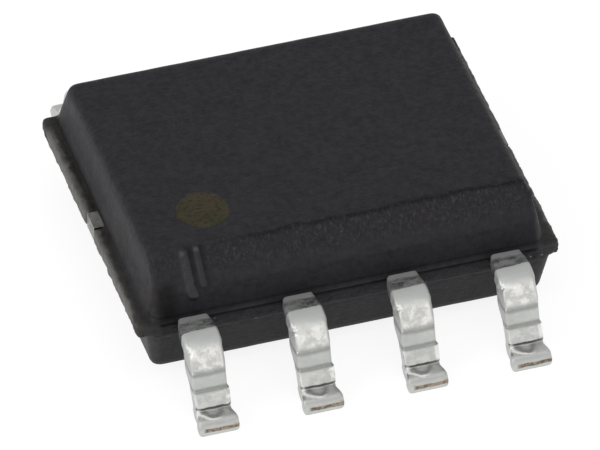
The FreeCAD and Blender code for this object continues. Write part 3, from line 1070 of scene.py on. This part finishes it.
def tin_plate():
    """Matt tin on the formed leads: darker beside the body, rubbed at the bend, cut to copper at the toe."""
    material, tree, shader = start_material("tin_plate")
    at = find_place(tree)
    at["across"] = across_lead(tree, at)
    at["waver"] = scale_to(tree, noise(tree, at["Place"], 9.0), -0.025, 0.025)
    side = node(tree, "ShaderNodeAttribute", attribute_name="cut_side").outputs["Fac"]

    tone = mottle(tree, at["Place"], 5.0, 2.0)
    coat = Coat(tree, blend(tree, tone, (0.5, 0.515, 0.495, 1), (0.63, 0.635, 0.61, 1)))
    level_top, rubbed, scuffs, low_band = lay_tin(tree, at, coat, side)
    collar_band, dent_glint = lay_collar(tree, at, coat)
    lay_creases(tree, at, coat)
    on_foot, dent_wall, dent_rim_glint = lay_foot(tree, at, coat)
    copper_band = lay_toe(tree, at, coat)

    grain = mottle(tree, at["Place"], 26.0, 2.2)
    height = add(tree, multiply(tree, grain, scale_to(tree, level_top, 0.7, 0.05)),
                 multiply(tree, rubbed, scuffs, 2.0), dent_wall, multiply(tree, low_band, scuffs))
    roughness = add(tree, 0.34, multiply(tree, grain, 0.08), multiply(tree, side, 0.22),
                    multiply(tree, copper_band, 0.15), multiply(tree, on_foot, 0.10))
    matt = clamp(tree, add(tree, multiply(tree, level_top, 0.5), multiply(tree, collar_band, 0.4),
                           multiply(tree, rubbed, scuffs, 0.5), multiply(tree, dent_rim_glint, 0.9),
                           multiply(tree, dent_glint, 0.9)))
    wire(tree, shader, Base_Color=coat.colour, Metallic=invert(tree, matt), Roughness=roughness,
         Normal=bump(tree, height, 0.005))
    return material


def inner_metal(name, dark, light, per_mm, rough_low, rough_high, metallic=1.0):
    """Mottled finish for the parts inside the moulding."""
    material, tree, shader = start_material(name)
    at = use(tree, "place_in_mm", {})
    tone = mottle(tree, at["Place"], per_mm, 1.8)
    grain = mottle(tree, at["Place"], per_mm * 5, 1.8)
    wire(tree, shader, Base_Color=blend(tree, tone, dark, light), Metallic=metallic,
         Roughness=scale_to(tree, grain, rough_low, rough_high), Normal=bump(tree, grain, 0.002))
    return material


def frame_metal():
    """Copper frame, tinned where the tie bars come out through the lips."""
    material = inner_metal("frame_copper", (0.62, 0.33, 0.22, 1), (0.86, 0.52, 0.36, 1), 4.0, 0.3, 0.5)
    tree = material.node_tree
    shader = next(item for item in tree.nodes if item.type == "BSDF_PRINCIPLED")
    at = use(tree, "place_in_mm", {})
    end = ramp(tree, calc(tree, "ABSOLUTE", at["X"]), BODY_END - 0.01, BODY_END + 0.01)
    tone = mottle(tree, at["Place"], 9.0, 3.0)
    tin = blend(tree, tone, (0.13, 0.12, 0.11, 1), (0.34, 0.34, 0.33, 1))
    copper = shader.inputs["Base Color"].links[0].from_socket
    tree.links.new(blend(tree, end, copper, tin), shader.inputs["Base Color"])
    return material


def pale_floor():
    """White paper that stays white to the camera and keeps the soft shadow."""
    material, tree, shader = start_material("pale_floor")
    where = node(tree, "ShaderNodeTexCoord").outputs["Object"]
    fibre = noise(tree, where, 900.0, 4.0)
    tone = blend(tree, fibre, (0.8, 0.8, 0.8, 1), (0.86, 0.86, 0.86, 1))
    wire(tree, shader, Base_Color=tone, Roughness=0.9)
    rays = node(tree, "ShaderNodeLightPath").outputs
    seen = calc(tree, "MAXIMUM", rays["Is Camera Ray"],
                calc(tree, "MAXIMUM", rays["Is Glossy Ray"], rays["Is Transmission Ray"]))
    glow = node(tree, "ShaderNodeEmission", {"Color": (1, 1, 1, 1), "Strength": FLOOR_GLOW})
    output = next(item for item in tree.nodes if item.type == "OUTPUT_MATERIAL")
    mix = node(tree, "ShaderNodeMixShader", {0: calc(tree, "MULTIPLY", seen, FLOOR_SHARE),
                                             1: shader.outputs["BSDF"], 2: glow.outputs[0]})
    tree.links.new(mix.outputs[0], output.inputs["Surface"])
    return material


# Stage

def add_floor():
    bpy.ops.object.select_all(action="DESELECT")
    bpy.ops.mesh.primitive_plane_add(size=FLOOR_SIZE, location=(0, 0, FLOOR_LEVEL))
    floor = bpy.context.object
    floor.name = "floor"
    dress(floor, pale_floor())


def add_camera():
    camera = bpy.data.objects.new("camera", bpy.data.cameras.new("camera"))
    bpy.context.collection.objects.link(camera)
    turn = (Matrix.Rotation(math.radians(CAMERA_AZIMUTH), 4, "Z")
            @ Matrix.Rotation(math.radians(90 - CAMERA_ELEVATION), 4, "X")
            @ Matrix.Rotation(math.radians(CAMERA_ROLL), 4, "Z"))
    back = turn.to_3x3() @ Vector((0, 0, 1))
    camera.matrix_world = Matrix.Translation(Vector(CAMERA_TARGET) + back * CAMERA_DISTANCE) @ turn
    camera.data.lens = CAMERA_LENS
    camera.data.sensor_width = 36
    camera.data.clip_start = 0.0005
    camera.data.clip_end = 10
    bpy.context.scene.camera = camera


def add_lamp(name, place, size, brightness):
    """Soft square lamp that points at the object; brightness is the panel's own radiance."""
    data = bpy.data.lights.new(name, "AREA")
    data.size = size
    data.energy = math.pi * size * size * brightness
    lamp = bpy.data.objects.new(name, data)
    bpy.context.collection.objects.link(lamp)
    lamp.location = place
    lamp.rotation_euler = (-Vector(place)).to_track_quat("-Z", "Y").to_euler()


def add_lamps():
    add_lamp("left_panel", (-0.30, -0.05, 0.16), 0.20, 2.2)
    add_lamp("top_panel", (0.02, -0.10, 0.32), 0.16, 0.9)


def light_world():
    """White to the camera; to the object a room whose brightness ramps from SKY_SIDE at the sides to SKY_UP
    overhead.
    """
    world = bpy.data.worlds.new("studio")
    bpy.context.scene.world = world
    world.use_nodes = True
    tree = world.node_tree
    tree.nodes.clear()
    view = node(tree, "ShaderNodeTexCoord").outputs["Generated"]
    parts = node(tree, "ShaderNodeSeparateXYZ", {"Vector": view}).outputs
    up = ramp(tree, parts["Z"], 0.05, 0.65)
    room = scale_to(tree, up, SKY_SIDE, SKY_UP)
    seen = node(tree, "ShaderNodeLightPath").outputs["Is Camera Ray"]
    strength = node(tree, "ShaderNodeMix", {0: seen, 2: room, 3: 1.0}, data_type="FLOAT").outputs[0]
    sky = node(tree, "ShaderNodeBackground", {"Color": (1, 1, 1, 1), "Strength": strength})
    node(tree, "ShaderNodeOutputWorld", {"Surface": sky.outputs[0]})


def dress_inner_nodes():
    silver = inner_metal("silver_epoxy", (0.45, 0.45, 0.44, 1), (0.7, 0.7, 0.68, 1), 8.0,
                         0.5, 0.7, 0.6)
    silicon = inner_metal("silicon", (0.16, 0.17, 0.2, 1), (0.26, 0.27, 0.31, 1), 3.0,
                          0.15, 0.25, 0.7)
    gold = inner_metal("gold_wire", (0.83, 0.6, 0.22, 1), (0.98, 0.76, 0.36, 1), 12.0, 0.2, 0.3)
    finishes = {"die_paddle": frame_metal(), "die_attach": silver, "silicon_die": silicon}
    for name, cad_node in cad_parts.items():
        finish = gold if name.startswith("bond_wire") else finishes.get(name)
        if finish:
            dress(cad_node, finish)


def main():
    build_groups()
    tin = tin_plate()
    for lead in build_leads():
        dress(lead, tin)
    dress(build_moulding(), mould_epoxy())
    dress_inner_nodes()
    add_floor()
    add_camera()
    add_lamps()
    light_world()
    bpy.context.scene.view_settings.view_transform = "Standard"


main()
